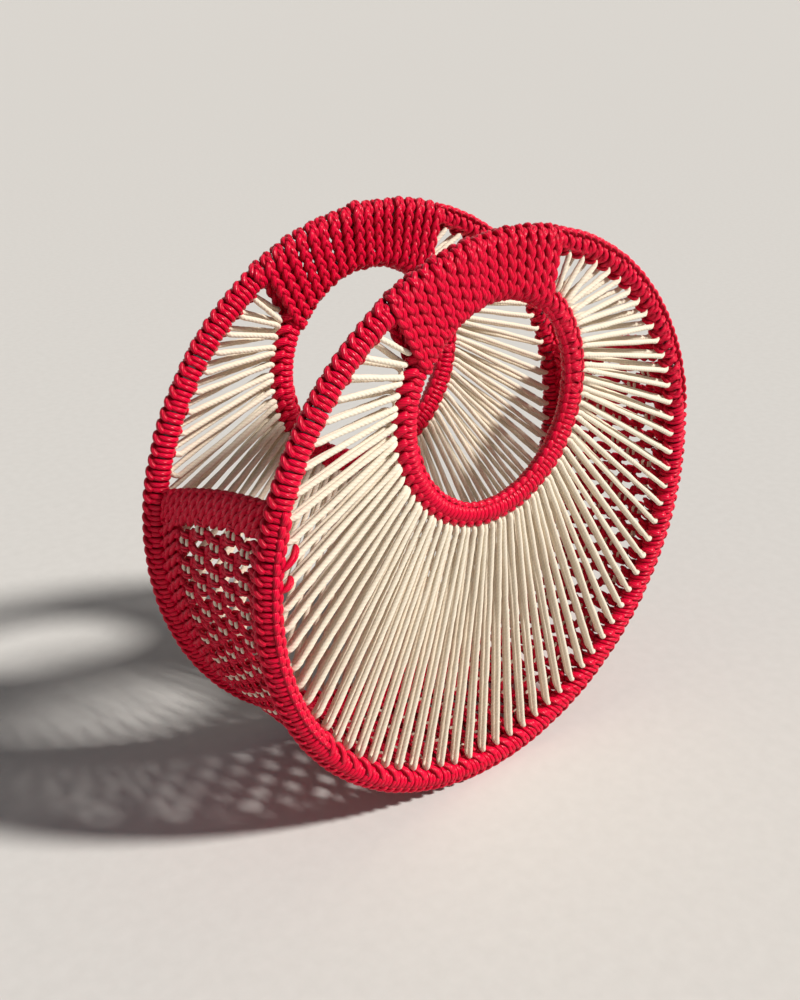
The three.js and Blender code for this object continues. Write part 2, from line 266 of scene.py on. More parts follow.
# %% [markdown]
# ## A plain round cord
# The cream cord is a soft twist of cotton, nearly round and smooth at arm's length. A tube with
# a few sides is enough, because its fine twist is far smaller than a millimetre and belongs to
# the material.

# %% Round cord
ROUND_SIDES = 10
UNEVEN = 0.05


def round_cord(path, diameter, sides=ROUND_SIDES, tip=0.0, rng=None, pointed=False):
    """Grid of points of one round cord, carried along without twisting."""
    forward = unit(np.gradient(path, axis=0))
    side = np.cross(forward[0], [0.3, 0.5, 0.8])
    frames = []
    for direction in forward:
        side = side - (side @ direction) * direction
        side = side / np.linalg.norm(side)
        frames.append(side)
    side = np.array(frames)
    up = np.cross(side, forward)
    turn = np.linspace(0, 2 * np.pi, sides, endpoint=False)
    radius = np.full(len(path), diameter / 2)
    if rng is not None:
        radius = radius * (1 + UNEVEN * rng.standard_normal(len(path)))
    reach = np.concatenate([[0], np.cumsum(np.linalg.norm(np.diff(path, axis=0), axis=1))])
    if tip:
        end = np.clip(np.minimum(reach, reach[-1] - reach) / tip, 0, 1)
        shape = np.sin(end * np.pi / 2) if pointed else np.sqrt(end * (2 - end))
        radius = radius * (0.1 + 0.9 * shape)
    ring = np.cos(turn)[None, :, None] * side[:, None] + np.sin(turn)[None, :, None] * up[:, None]
    points = path[:, None] + radius[:, None, None] * ring
    place = np.broadcast_to(reach[:, None], points.shape[:2])
    return points, place, np.zeros(points.shape[:2])


print("a straight round cord:", round_cord(line, 3.0)[0].shape)

# %% [markdown]
# ## From cords to one mesh
# A panel's cover alone has over a hundred loops. As separate objects they would be slow and hard
# to name, so a bundle collects the cords that belong together and makes one mesh of them. It
# keeps three things for the materials: the place along and around each cord, how deep a point
# lies in a crease, which sets painted shade and a duller finish there, and one number a cord, so
# that no two loops are dyed quite alike.


# %% Bundle of cords
class Bundle:
    def __init__(self, name, seed):
        self.name = name
        self.rng = np.random.default_rng(seed)
        self.cords = []

    def add(self, *cords):
        """Adds cords, or the yarns of one cord, that share a shade."""
        shade = self.rng.uniform(0, 1)
        self.cords += [(*cord, shade) for cord in cords]

    def tubes(self):
        """Points and side faces of every cord, with two maps a corner and two numbers a point."""
        parts = {"points": [], "faces": [], "cord": [], "OFBake": [], "crease": [], "tone": []}
        start = segment = 0
        total = sum(len(cord[0]) - 1 for cord in self.cords)
        corners = self.cords[0][0].shape[1]
        per_row = max(1, int(math.sqrt(total * corners)))
        rows = math.ceil(total / per_row) * corners
        for grid, place, depth, shade in self.cords:
            rings, sides = grid.shape[:2]
            i, k = np.meshgrid(np.arange(rings - 1), np.arange(sides), indexing="ij")
            after = (k + 1) % sides
            quad = [i * sides + k, (i + 1) * sides + k, (i + 1) * sides + after, i * sides + after]
            parts["faces"] += (np.stack(quad, -1).reshape(-1, 4) + start).tolist()
            u = np.stack([place[i, k], place[i + 1, k], place[i + 1, after], place[i, after]], -1)
            v = np.stack([k, k, k + 1, k + 1], -1)
            parts["cord"].append(np.stack([u, v / sides], -1).reshape(-1, 2))
            row, column = np.divmod(segment + i, per_row)
            x = np.stack([column, column + 1, column + 1, column], -1) / per_row
            y = (row[..., None] * sides + v) / max(rows, 1)
            parts["OFBake"].append(np.stack([x, y], -1).reshape(-1, 2))
            parts["points"].append(grid.reshape(-1, 3))
            parts["crease"].append(depth.ravel())
            parts["tone"].append(np.full(rings * sides, shade))
            start += rings * sides
            segment += rings - 1
        return parts

    def caps(self):
        """A face that closes each end of every cord."""
        faces, start = [], 0
        for grid, *_ in self.cords:
            rings, sides = grid.shape[:2]
            first = start + np.arange(sides)
            faces.append(first.tolist())
            faces.append((first + (rings - 1) * sides)[::-1].tolist())
            start += rings * sides
        return faces

    def mesh(self, material, body=None):
        """One object of all the cords. Nothing of it goes below the floor."""
        parts, caps = self.tubes(), self.caps()
        mesh = bpy.data.meshes.new(self.name)
        points = np.vstack(parts["points"])
        points[:, 2] = np.maximum(points[:, 2], 0.0)
        mesh.from_pydata((points * MM).tolist(), [], parts["faces"] + caps)
        cap_corners = [[0.0, 0.0]] * sum(len(cap) for cap in caps)
        for title in ("OFBake", "cord"):
            corners = np.vstack(parts[title] + [cap_corners])
            mesh.uv_layers.new(name=title).data.foreach_set("uv", corners.astype(np.float32).ravel())
        for title in ("crease", "tone"):
            attribute = mesh.attributes.new(title, "FLOAT", "POINT")
            attribute.data.foreach_set("value", np.concatenate(parts[title]).astype(np.float32))
        mesh.polygons.foreach_set("use_smooth", [True] * len(mesh.polygons))
        mesh.materials.append(material)
        piece = bpy.data.objects.new(self.name, mesh)
        bpy.context.scene.collection.objects.link(piece)
        if body:
            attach(piece, body)
        print(self.name, len(self.cords), "cords,", 2 * len(parts["faces"]), "triangles")
        return piece


# %% [markdown]
# ## Finishes
# The red cord is a tightly braided, slightly waxed fibre: saturated crimson, with small sharp
# highlights on every lump, and a darker, redder painted shade in the creases and in thin lines
# between its fine strands. The cream cord is matte cotton whose twist shows as fine slanted lines,
# which are painted shade in the grooves of the twist. Both are built from waves and noise that
# follow the cord, so they would look right on any cord of the lesson. The hoops' drawn steel stays
# under the covers and shows only in a gap.


# %% Material helpers
def new_material(name, roughness, **inputs):
    material = bpy.data.materials.new(name)
    material.use_nodes = True
    tree = material.node_tree
    shader = tree.nodes["Principled BSDF"]
    shader.inputs["Roughness"].default_value = roughness
    for socket, value in inputs.items():
        shader.inputs[socket.replace("_", " ")].default_value = value
    return material, tree, shader


def add_node(tree, kind, settings=None, **inputs):
    node = tree.nodes.new(kind)
    for key, value in (settings or {}).items():
        setattr(node, key, value)
    for socket, value in inputs.items():
        target = node.inputs[socket.replace("_", " ")]
        if hasattr(value, "is_output"):
            tree.links.new(value, target)
        else:
            target.default_value = value
    return node


def math_node(tree, operation, a, b=0.0):
    node = tree.nodes.new("ShaderNodeMath")
    node.operation = operation
    for socket, value in zip(node.inputs, (a, b)):
        if hasattr(value, "is_output"):
            tree.links.new(value, socket)
        else:
            socket.default_value = value
    return node.outputs[0]


def mix_colour(tree, share, a, b):
    node = tree.nodes.new("ShaderNodeMix")
    node.data_type = "RGBA"
    for socket, value in ((node.inputs[0], share), (node.inputs[6], a), (node.inputs[7], b)):
        if hasattr(value, "is_output"):
            tree.links.new(value, socket)
        else:
            socket.default_value = value
    return node.outputs[2]


def cord_space(tree, along, around):
    """Coordinates that follow the cord: millimetres along it and a share of a turn around it."""
    uv = add_node(tree, "ShaderNodeUVMap", {"uv_map": "cord"}).outputs["UV"]
    return add_node(tree, "ShaderNodeMapping", Vector=uv, Scale=(along, around, 1.0)).outputs[0]


def attribute(tree, name, share):
    number = add_node(tree, "ShaderNodeAttribute", {"attribute_name": name}).outputs["Fac"]
    return math_node(tree, "MULTIPLY", number, share)


def roughen(tree, shader, height, strength, distance):
    bump = add_node(tree, "ShaderNodeBump", Height=height, Strength=strength, Distance=distance)
    tree.links.new(bump.outputs[0], shader.inputs["Normal"])


# %% Red cord
def red_cord_material():
    material, tree, shader = new_material("red_plait", 0.26, Specular_IOR_Level=0.2)
    place = add_node(tree, "ShaderNodeTexCoord").outputs["Object"]
    cloudy = add_node(tree, "ShaderNodeTexNoise", Vector=place, Scale=45.0, Detail=2.0)
    strands = add_node(tree, "ShaderNodeTexWave", {"bands_direction": "DIAGONAL"},
                       Vector=cord_space(tree, 0.25, 6.2832), Scale=1.0, Distortion=1.2, Detail=2.0,
                       Detail_Scale=2.0).outputs["Fac"]
    fibres = add_node(tree, "ShaderNodeTexNoise", Vector=cord_space(tree, 0.8, 26.0), Scale=1.0, Detail=3.0)
    lit = mix_colour(tree, cloudy.outputs["Fac"], (0.76, 0.0, 0.034, 1), (0.90, 0.0, 0.052, 1))
    toned = mix_colour(tree, attribute(tree, "tone", 0.3), lit, (0.66, 0.0, 0.024, 1))
    # Painted shade: thin darker lines in the grooves between the cord's fine strands.
    between = math_node(tree, "MULTIPLY", math_node(tree, "SUBTRACT", 1.0, strands), 0.18)
    strand_shaded = mix_colour(tree, between, toned, (0.34, 0.0, 0.006, 1))
    # Painted shade: the creases between yarns are darkened towards a deep red by each point's crease value.
    deep = mix_colour(tree, attribute(tree, "crease", 0.85), strand_shaded, (0.13, 0.0, 0.002, 1))
    tree.links.new(deep, shader.inputs["Base Color"])
    dull = math_node(tree, "ADD", attribute(tree, "crease", 0.6), 0.26)
    tree.links.new(dull, shader.inputs["Roughness"])
    relief = math_node(tree, "ADD", math_node(tree, "MULTIPLY", fibres.outputs["Fac"], 0.5), strands)
    roughen(tree, shader, relief, 0.45, 0.0004)
    return material


red_cord = red_cord_material()
print(red_cord.name, "has", len(red_cord.node_tree.nodes), "nodes")


# %% Cream cord
def cream_cord_material():
    material, tree, shader = new_material("cream_cotton", 0.9, Specular_IOR_Level=0.25,
                                          Sheen_Weight=0.25, Sheen_Roughness=0.6)
    place = add_node(tree, "ShaderNodeTexCoord").outputs["Object"]
    cloudy = add_node(tree, "ShaderNodeTexNoise", Vector=place, Scale=60.0, Detail=3.0)
    twist = add_node(tree, "ShaderNodeTexWave", {"bands_direction": "DIAGONAL"},
                     Vector=cord_space(tree, 0.26, 1.885), Scale=1.0, Distortion=1.2, Detail=3.0,
                     Detail_Scale=3.0).outputs["Fac"]
    fluff = add_node(tree, "ShaderNodeTexNoise", Vector=cord_space(tree, 1.6, 9.0), Scale=1.0, Detail=5.0,
                     Roughness=0.7)
    base = mix_colour(tree, cloudy.outputs["Fac"], (0.80, 0.70, 0.55, 1), (0.88, 0.80, 0.66, 1))
    toned = mix_colour(tree, attribute(tree, "tone", 0.25), base, (0.72, 0.62, 0.47, 1))
    # Painted shade: darker brown lines in the grooves of the cotton's twist.
    twist_groove_shade = math_node(tree, "MULTIPLY", math_node(tree, "SUBTRACT", 1.0, twist), 0.14)
    tree.links.new(mix_colour(tree, twist_groove_shade, toned, (0.50, 0.38, 0.24, 1)), shader.inputs["Base Color"])
    relief = math_node(tree, "ADD", twist, math_node(tree, "MULTIPLY", fluff.outputs["Fac"], 0.9))
    roughen(tree, shader, relief, 0.32, 0.0004)
    return material


cream_cord = cream_cord_material()
print(cream_cord.name, "has", len(cream_cord.node_tree.nodes), "nodes")


# %% Steel of the hoops
def hoop_steel_material():
    material, tree, shader = new_material("hoop_steel", 0.38, Metallic=1.0)
    place = add_node(tree, "ShaderNodeTexCoord").outputs["Object"]
    stretched = add_node(tree, "ShaderNodeMapping", Vector=place, Scale=(300.0, 900.0, 300.0)).outputs[0]
    drawn = add_node(tree, "ShaderNodeTexNoise", Vector=stretched, Scale=1.0, Detail=4.0).outputs["Fac"]
    colour = mix_colour(tree, drawn, (0.28, 0.28, 0.29, 1), (0.46, 0.45, 0.44, 1))
    tree.links.new(colour, shader.inputs["Base Color"])
    roughen(tree, shader, drawn, 0.2, 0.0001)
    return material


hoop_steel = hoop_steel_material()
hoops = [name for name in nodes if name.endswith("_hoop")]
for name in hoops:
    nodes[name].data.materials.clear()
    nodes[name].data.materials.append(hoop_steel)
print("bare steel under the covers:", hoops)

# %% [markdown]
# ## Turns of cord round a hoop
# The covers are worked with one cord that goes round and round the wire. One long helix could
# stand for it, but every turn leans and shifts a little in hand work, so each one is a stretch
# of cord of its own: two rungs where it is tight, and the flat plait where it is looser.

# %% Turns of a cover
CORD_THICKNESS = 3.3
WRAP_DISTANCE = WIRE_RADIUS + 0.3 + CORD_THICKNESS / 2
WRAP_AROUND = (-85, 279)
WRAP_FACE = 97
GOLDEN = 0.618


def growing(angle, first, last):
    """Goes smoothly from nought at the first angle to one at the last."""
    t = min(1, max(0, (angle - first) / (last - first)))
    return t * t * (3 - 2 * t)


def add_wrap(bundle, panel, ring, angle, step, slant, distance, width, tilt=0.0, flat=False):
    """One turn of cord round the wire: a helix that leans more on the two faces than at the edges."""
    around = np.linspace(*WRAP_AROUND, 37)
    from_face = np.radians(around - WRAP_FACE)
    lean = (around - WRAP_FACE) / 360 + 0.16 * slant * np.sin(from_face)
    lean = slant * lean + tilt * np.sin(from_face)
    loft = distance + 0.3 * np.cos(np.radians(2 * (around - WRAP_FACE)))
    path, out = on_ring(panel, *ring, angle - step * lean, PANELS[panel]["worked"] * around, loft)
    if flat:
        bundle.add(*plait(path, out, 1.12 * width, CORD_THICKNESS, start=GOLDEN * angle, share=0.25))
    else:
        bundle.add(*pair(path, out, width, CORD_THICKNESS))


print("cord for one turn:", round(2 * math.pi * WRAP_DISTANCE, 1), "mm")

# %% [markdown]
# ## Loops that climb over the turns
# The knots that lock the turns give a cover its relief. On the outer hoop a row of hooks runs
# along the outer edge and becomes a chain at the right, two rows of beads lie on the face at the
# front's left, and a slanted loop lies beside each run of the lacing. A displaced surface would
# blur where these rows cross, so each loop is a fat yarn through a short row of stations.


# %% Loops and their stations
HOOK = np.array([(0.34, 48, 0.0), (0.28, 33, 0.8), (0.13, 18, 1.5), (-0.1, 6, 1.8), (-0.34, -5, 1.3),
                 (-0.56, -17, 0.0)])
CHAIN = np.array([(-0.52, 47, 0.2), (-0.3, 44, 1.7), (0.0, 41, 2.3), (0.26, 38, 2.1), (0.5, 35, 1.2),
                  (0.66, 33, 0.1)])
BEAD = np.array([(-0.5, -3, 0.0), (-0.24, -1, 1.2), (0.1, 1, 1.6), (0.36, 3, 1.1), (0.56, 5, 0.0)])
WIDE_LOOP = np.array([(0.0, 120, 0.1), (0.3, 138, 1.7), (0.56, 160, 2.4), (0.82, 183, 2.0),
                      (1.0, 206, 0.1)])
SMALL_LOOP = np.array([(0.08, 146, 0.3), (0.2, 168, 1.6), (0.34, 190, 1.5), (0.44, 212, 0.3)])


def add_lump(bundle, panel, ring, angle, step, stations, width, distance=WRAP_DISTANCE, thickness=3.0):
    """A loop of fat yarn over the turns. Its stations are steps along the ring, degrees round the wire
    and a height above the turns."""
    along, around_wire, lift = smooth_path(stations, 4).T
    around_wire = PANELS[panel]["worked"] * around_wire
    path, out = on_ring(panel, *ring, angle + step * along, around_wire, distance + lift)
    bundle.add(*single(path, out, width, thickness, tip=2.0, spacing=0.9))


print("stations of a hook and of a wide loop:", len(HOOK), len(WIDE_LOOP))

# %% [markdown]
# ## The outer hoop's cover
# The rows creep round the wire as the work goes on, as hand work does: the hooks from the outer
# edge towards the face, and the beads from the face towards the lacing. Each change is a pair of
# angles on the hoop, and the cover grows smoothly from one look to the next between them.

# %% Turns, hooks and beads
OUTER_RING = (OUTER_CENTRE, OUTER_RADIUS)
OUTER_WRAP_STEP = 2.27
WRAP_WIDTH = 5.4
LEAN_GROWS = (170, 300)
TILT_GROWS, TILT_FADES = (250, 272), (340, 362)
TURNS_NARROW = (255, 275)
FLAT_FROM = 374
HOOK_TURN = ([150, 168, 210, 240, 300, 372], [-2, -15, -8, 14, 26, 20])
CHAIN_GROWS = (362, 380)
BEAD_ROW = ([160, 190, 207, 214], [99, 107, 117, 124])
BEADS_SHRINK = (205, 240)
BEAD_ASIDE = 15


def add_beads(ridge, angle, step, loose):
    """Two beads on the front's face, the inner one half a step further on."""
    row = np.interp(angle, *BEAD_ROW)
    size = 1 - 0.3 * growing(angle, *BEADS_SHRINK)
    above = BEAD * (1, 1, size) + (0, row - BEAD_ASIDE * size, 0.6 * loose[2])
    below = BEAD * (1, -1, size) + (0, row + BEAD_ASIDE * size, 0.6 * loose[3])
    for place, bead in ((angle, above), (angle + 0.5 * step, below)):
        add_lump(ridge, "front", OUTER_RING, place, step, bead, 3.9 * size, thickness=3.4)


def outer_span(panel):
    """First and last angle of the outer cover, and the angle between its turns."""
    low, high = PANELS[panel]["grip"]
    start, end = high + 0.1, low + 360 + 0.7
    return start, end, (end - start) / round((end - start) / OUTER_WRAP_STEP)


def add_turns(panel, wraps, ridge, rng):
    """The turns of the outer cover, each with its hook or its link of the chain."""
    start, end, step = outer_span(panel)
    for k in range(round((end - start) / step)):
        angle = start + (k + 0.5) * step
        loose = rng.normal(0, 0.15, 4)
        slant = 0.15 + 0.25 * growing(angle, *LEAN_GROWS)
        tilt = 0.3 * growing(angle, *TILT_GROWS) * (1 - growing(angle, *TILT_FADES))
        width = WRAP_WIDTH - 0.35 * growing(angle, *TURNS_NARROW) + loose[3]
        add_wrap(wraps, panel, OUTER_RING, angle + 0.3 * loose[0], step, slant, WRAP_DISTANCE + loose[1],
                 width, tilt, flat=angle > FLAT_FROM)
        chained = growing(angle, *CHAIN_GROWS)
        link = (1 - chained) * (HOOK + (0, np.interp(angle, *HOOK_TURN), 0)) + chained * CHAIN
        add_lump(ridge, panel, OUTER_RING, angle, step, link + (0, 9 * loose[0], 0.6 * loose[2]), 3.4)
        if panel == "front" and BEAD_ROW[0][0] < angle < BEAD_ROW[0][-1]:
            add_beads(ridge, angle, step, loose)


for panel in PANELS:
    print(panel, "outer cover, first, last and step:", np.round(outer_span(panel), 2))

# %% Loops along the lacing
LACE_RUNS = 69
LACE_MARGIN = 2.6
LACE_DRIFT = ([200, 260, 320, 355, 410, 440], [-0.28, -0.03, -0.03, 0.18, 0.1, 0.24])
WIDE_LOOPS = (208, 356)
SMALL_LOOPS_END = 164
LOOP_FOOT = ([209, 245, 285, 310, 356], [1.2, 0.98, 0.78, 0.56, 0.5])
LOOP_TURN = ([209, 245, 275], [-30, -9, 0])
LOOP_HEAD = 0.22


def lace_angles(panel):
    """Where the lacing begins on the outer hoop, and the angle between its runs."""
    low, high = PANELS[panel]["grip"]
    start, end = high + LACE_MARGIN, low + 360 - LACE_MARGIN
    return start, (end - start) / LACE_RUNS


def add_lace_loops(panel, ridge, rng):
    """A loop beside each run of the lacing, wide round the lower half and small towards the grip."""
    start, step = lace_angles(panel)
    for run in range(-1, LACE_RUNS + 1):
        middle = run + 0.5
        angle = start + (middle + np.interp(start + middle * step, *LACE_DRIFT)) * step
        loose = rng.normal(0, 0.2)
        if WIDE_LOOPS[0] < angle < WIDE_LOOPS[1]:
            foot = np.interp(angle, *LOOP_FOOT)
            loop = WIDE_LOOP * (LOOP_HEAD - foot, 1, 1) + (foot, np.interp(angle, *LOOP_TURN), loose)
            add_lump(ridge, panel, OUTER_RING, angle, step, loop, 4.4)
        elif angle < SMALL_LOOPS_END or angle > WIDE_LOOPS[1]:
            add_lump(ridge, panel, OUTER_RING, angle, step, SMALL_LOOP + (0, 0, loose), 3.6)


print("degrees from run to run:", round(lace_angles("front")[1], 2))

# %% [markdown]
# ## Loose ends, and the cover put together
# Beside the grip the cord ends in a short tail along the hoop. At the front's left two strands
# leave the cover and cross the first runs of the lacing. They follow no rule, so they are listed
# one by one, as degrees round the hoop, distance from its centre and height over the panel's plane.


# %% The outer cover
CROSSINGS = (
    [(172.0, 148.4, 4.4), (170.2, 145.2, 6.5), (168.8, 142.4, 6.6), (167.6, 140.2, 5.0),
     (166.9, 138.8, 1.6)],
    [(175.6, 148.4, 4.4), (174.8, 145.6, 6.3), (174.1, 143.2, 6.4), (173.5, 141.2, 4.8),
     (173.1, 139.8, 1.6)],
)
TAIL_STEPS = 5


def add_tail(panel, ridge):
    """The end of the cord, laid back along the hoop."""
    _, end, step = outer_span(panel)
    tail = np.array([(x, 128 + 4 * math.sin(2 * x), 0.5) for x in range(-TAIL_STEPS, 1)])
    tail[0, 2] = tail[-1, 2] = -0.4
    add_lump(ridge, panel, OUTER_RING, end, step, tail, 2.1, thickness=2.0)


def add_crossings(ridge):
    """Two strands with half a twist each, from the cover to the lacing."""
    for stretch in CROSSINGS:
        around_ring, radius, height = smooth_path(stretch, 5).T
        turned = np.radians(around_ring)
        path = np.stack([OUTER_CENTRE[0] + radius * np.cos(turned), -PANEL_DISTANCE - height,
                         OUTER_CENTRE[1] + radius * np.sin(turned)], -1)
        forward = np.tile([0.0, -1.0, 0.0], (len(path), 1))
        ridge.add(*pair(path, forward, 3.4, 2.6, turns=0.5, tip=6.0))


def outer_cover(panel):
    seed = PANELS[panel]["seed"]
    rng = np.random.default_rng(seed)
    wraps = Bundle(panel + "_outer_cover_wraps", seed)
    ridge = Bundle(panel + "_outer_cover_ridge", seed + 1)
    add_turns(panel, wraps, ridge, rng)
    add_lace_loops(panel, ridge, rng)
    add_tail(panel, ridge)
    if panel == "front":
        add_crossings(ridge)
    return wraps, ridge


def dress(bundle, material, body, slot_name, *replaced):
    """Makes the bundle's mesh, and hides the solids that it stands for."""
    piece = bundle.mesh(material, body)
    if replaced:
        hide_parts(*replaced)


def dress_covers(cover, replaced):
    """Makes one kind of cover on both panels. The turns stand for the solid, and the loops ride on them."""
    for panel in PANELS:
        wraps, ridge = cover(panel)
        dress(wraps, red_cord, panel + "_panel", "red_cord", panel + replaced)
        dress(ridge, red_cord, panel + "_panel", "red_cord")


dress_covers(outer_cover, "_outer_cover")

# %% [markdown]
# ## The inner hoop's cover
# The small hoop is covered in the same way. An edge row lies on the side away from the hand hole
# and a chain on the side of it. The lacing comes out of the gaps between the turns, so the gaps
# are counted first, and a turn lies halfway between two of them.


# %% Inner cover
INNER_RING = (INNER_CENTRE, INNER_RADIUS)
INNER_WRAPS = 46
INNER_DISTANCE = WRAP_DISTANCE - 0.4
INNER_LEAN_FADES = (230, 270)
INNER_FLAT_FROM = 352
EDGE_SINKS = (165, 210)
HOLE_CHAIN_FROM = 180
HOLE_CHAIN_GROWS = (175, 200)
GAP_ANGLES = ([-0.5, 7, 22, 30, 37, 45.5], [149.2, 195.8, 281.3, 324.8, 364.6, 416.2])
FIRST_GAPS_STEP = 6.2
INNER_EDGE = np.array([(-0.46, 60, 0.3), (-0.3, 38, 0.8), (-0.02, 18, 1.0), (0.26, -2, 0.9),
                       (0.42, -30, 0.2)])
HOLE_CHAIN = np.array([(-0.52, 150, 0.1), (-0.25, 156, 1.2), (0.05, 160, 1.5), (0.3, 158, 1.2),
                       (0.56, 152, 0.1)])


def gap_angle(count):
    """Angle on the inner hoop of a gap between its turns, or of a turn where the count ends in a half."""
    before = GAP_ANGLES[1][0] + FIRST_GAPS_STEP * (count - GAP_ANGLES[0][0])
    return float(np.interp(count, *GAP_ANGLES, left=before))


def inner_cover(panel):
    seed = PANELS[panel]["seed"]
    rng = np.random.default_rng(seed + 5)
    wraps = Bundle(panel + "_inner_cover_wraps", seed + 2)
    ridge = Bundle(panel + "_inner_cover_ridge", seed + 3)
    for k in range(INNER_WRAPS + 1):
        angle, step = gap_angle(k - 0.5), gap_angle(k) - gap_angle(k - 1)
        loose = rng.normal(0, 0.12, 3)
        slant = -0.5 * (1 - growing(angle, *INNER_LEAN_FADES))
        add_wrap(wraps, panel, INNER_RING, angle, step, slant, INNER_DISTANCE + loose[0], 1.04 * step,
                 flat=angle > INNER_FLAT_FROM)
        height = 1.9 + 1.6 * (1 - growing(angle, *EDGE_SINKS)) + loose[1]
        add_lump(ridge, panel, INNER_RING, angle, step, INNER_EDGE * (1, 1, height), 4.4, INNER_DISTANCE)
        if angle > HOLE_CHAIN_FROM:
            size = growing(angle, *HOLE_CHAIN_GROWS) + loose[2]
            add_lump(ridge, panel, INNER_RING, angle, step, HOLE_CHAIN * (1, 1, size), 4.2, INNER_DISTANCE)
    return wraps, ridge


dress_covers(inner_cover, "_inner_cover")

# %% [markdown]
# ## The grips
# Where the hoops come close, one long braid is wound round both of them, seventeen times. It
# goes over the outer hoop, straight down the face, under the inner hoop and up the back. The
# turns lie side by side at the left and open a little at the right, where the maker ran short of
# cord. It could be seventeen separate rings, but one path also gives the slanted steps on the
# back. A real winding is never quite even, so each turn gets its own small shift.


# %% Columns of a grip
GRIP_TURNS = 17
GRIP_THICKNESS = 4.6
GRIP_DISTANCE = WIRE_RADIUS + 0.55 + GRIP_THICKNESS / 2
GRIP_EDGE = 1.15


def grip_columns(panel):
    """Angles on both hoops of the seventeen columns of a grip's face, from left to right. Every
    column points at the outer hoop's centre."""
    low, high = PANELS[panel]["grip"]
    outer = np.linspace(high - GRIP_EDGE, low + GRIP_EDGE, GRIP_TURNS)
    turned = np.radians(outer) - INNER_DIRECTION
    aside = INNER_OFFSET * np.sin(turned)
    reach = INNER_OFFSET * np.cos(turned) + np.sqrt(INNER_RADIUS ** 2 - aside ** 2)
    x = OUTER_CENTRE[0] + reach * np.cos(np.radians(outer)) - INNER_CENTRE[0]
    z = OUTER_CENTRE[1] + reach * np.sin(np.radians(outer)) - INNER_CENTRE[1]
    return outer, np.degrees(np.arctan2(z, x))


for panel in PANELS:
    print(panel, "grip's ends on the inner hoop:", grip_columns(panel)[1][[0, -1]].round(1))

# %% Grip winding
BEND = np.linspace(0, 1, 13)
FACE_WIDTH = 7.2
SLIMMER = 0.7
SLIMS_AT = (8, 12)
TUCK_WIDTH = 6.8
EVEN_PLACES = 900
PROUD_TURN = 9


def winding_path(panel, outer, inner, pitch, lifts):
    """The way of the whole cord and its width, from the first turn to the tuck at the end."""
    way = -PANELS[panel]["side"]
    order = range(GRIP_TURNS) if panel == "rear" else range(GRIP_TURNS - 1, -1, -1)
    path, out, width = [], [], []
    for column in order:
        wide = FACE_WIDTH - SLIMMER * growing(column, *SLIMS_AT)
        stepped = outer[column] - way * pitch * (1 - BEND)
        over, over_out = on_ring(panel, *OUTER_RING, stepped, -90 + 180 * BEND,
                                 GRIP_DISTANCE + lifts[column])
        under, under_out = on_ring(panel, *INNER_RING, inner[column], 90 + 180 * BEND,
                                   GRIP_DISTANCE + 0.4 * lifts[column])
        path += [over, under]
        out += [over_out, under_out]
        width += [wide] * len(BEND) + [0.4 * wide + 3.7] * len(BEND)
    stepped = outer[order[-1]] + way * 0.9 * pitch * BEND
    tuck, tuck_out = on_ring(panel, *OUTER_RING, stepped, -90 + 150 * BEND, GRIP_DISTANCE - 1.2 * BEND)
    width += [TUCK_WIDTH] * len(BEND)
    return np.vstack(path + [tuck]), np.vstack(out + [tuck_out]), np.array(width)


def grip_winding(panel):
    seed = PANELS[panel]["seed"]
    rng = np.random.default_rng(seed + 9)
    outer, inner = grip_columns(panel)
    pitch = outer[0] - outer[1]
    outer = outer + rng.normal(0, 0.03 * pitch, GRIP_TURNS)
    lifts = rng.normal(0, 0.18, GRIP_TURNS)
    if panel == "rear":
        lifts[PROUD_TURN] += 1.4
    path, out, width = winding_path(panel, outer, inner, pitch, lifts)
    even = np.linspace(0, path_length(path), EVEN_PLACES)
    width = along_path(path, np.repeat(width[:, None], 3, axis=1), even)[:, 0]
    print(panel, "grip cord is", round(path_length(path)), "mm")
    bundle = Bundle(panel + "_grip_winding_cord", seed + 4)
    bundle.add(*plait(path, out, width, GRIP_THICKNESS, spacing=0.83, tip=3.0, core=True))
    return bundle


for panel in PANELS:
    dress(grip_winding(panel), red_cord, panel + "_panel", "red_cord", panel + "_grip_winding")

# %% [markdown]
# ## The cream lacing
# Cotton cord runs to and fro between the two covers, out on the panel's outer face and back on
# its inner face, with a small round turn through the cover at each end. Straight rods would do
# for the runs, but the turns make their ends look like fingertips, so each length is one path.
# Five lengths of cord lace one panel, as the five solids do.

# %% Ends of the runs
FINGERTIPS = ([150, 165, 200, 215, 285, 410], [71.4, 70.2, 69.2, 68.1, 67.4, 67.4])
LACE_REACH = ([160, 167, 203, 210, 245, 340, 350, 440],
              [143.6, 140.6, 140.4, 139.8, 140.4, 140.4, 142.6, 143.4])
FRONT_SHARES = (0.0, 0.78, 1.22)
BACK_SHARES = (0.22, 1.0, 1.78)


def inner_place(run, shares):
    """Angle on the inner hoop where a run is tucked in: three runs of a face share two gaps."""
    group, member = divmod(run - 1, len(shares))
    return gap_angle(2 * group + shares[member])


def lace_point(panel, centre, radius, angle, layer):
    """A place of the lacing, so far in front of the hoops' middle or behind it."""
    angle = math.radians(angle)
    depth = PANELS[panel]["side"] * (PANEL_DISTANCE + layer)
    return np.array([centre[0] + radius * math.cos(angle), depth, centre[1] + radius * math.sin(angle)])


def near(a, b, distance):
    """The point so far from the first one on the way to the second."""
    return a + (b - a) * distance / np.linalg.norm(b - a)


first_places = [round(inner_place(run, FRONT_SHARES)) for run in (1, 2, 3)]
print("the first runs reach the inner hoop at", first_places, "degrees")

# %% One length of lacing
LONGEST_TURN = 12
SHAKE_EVERY = 14


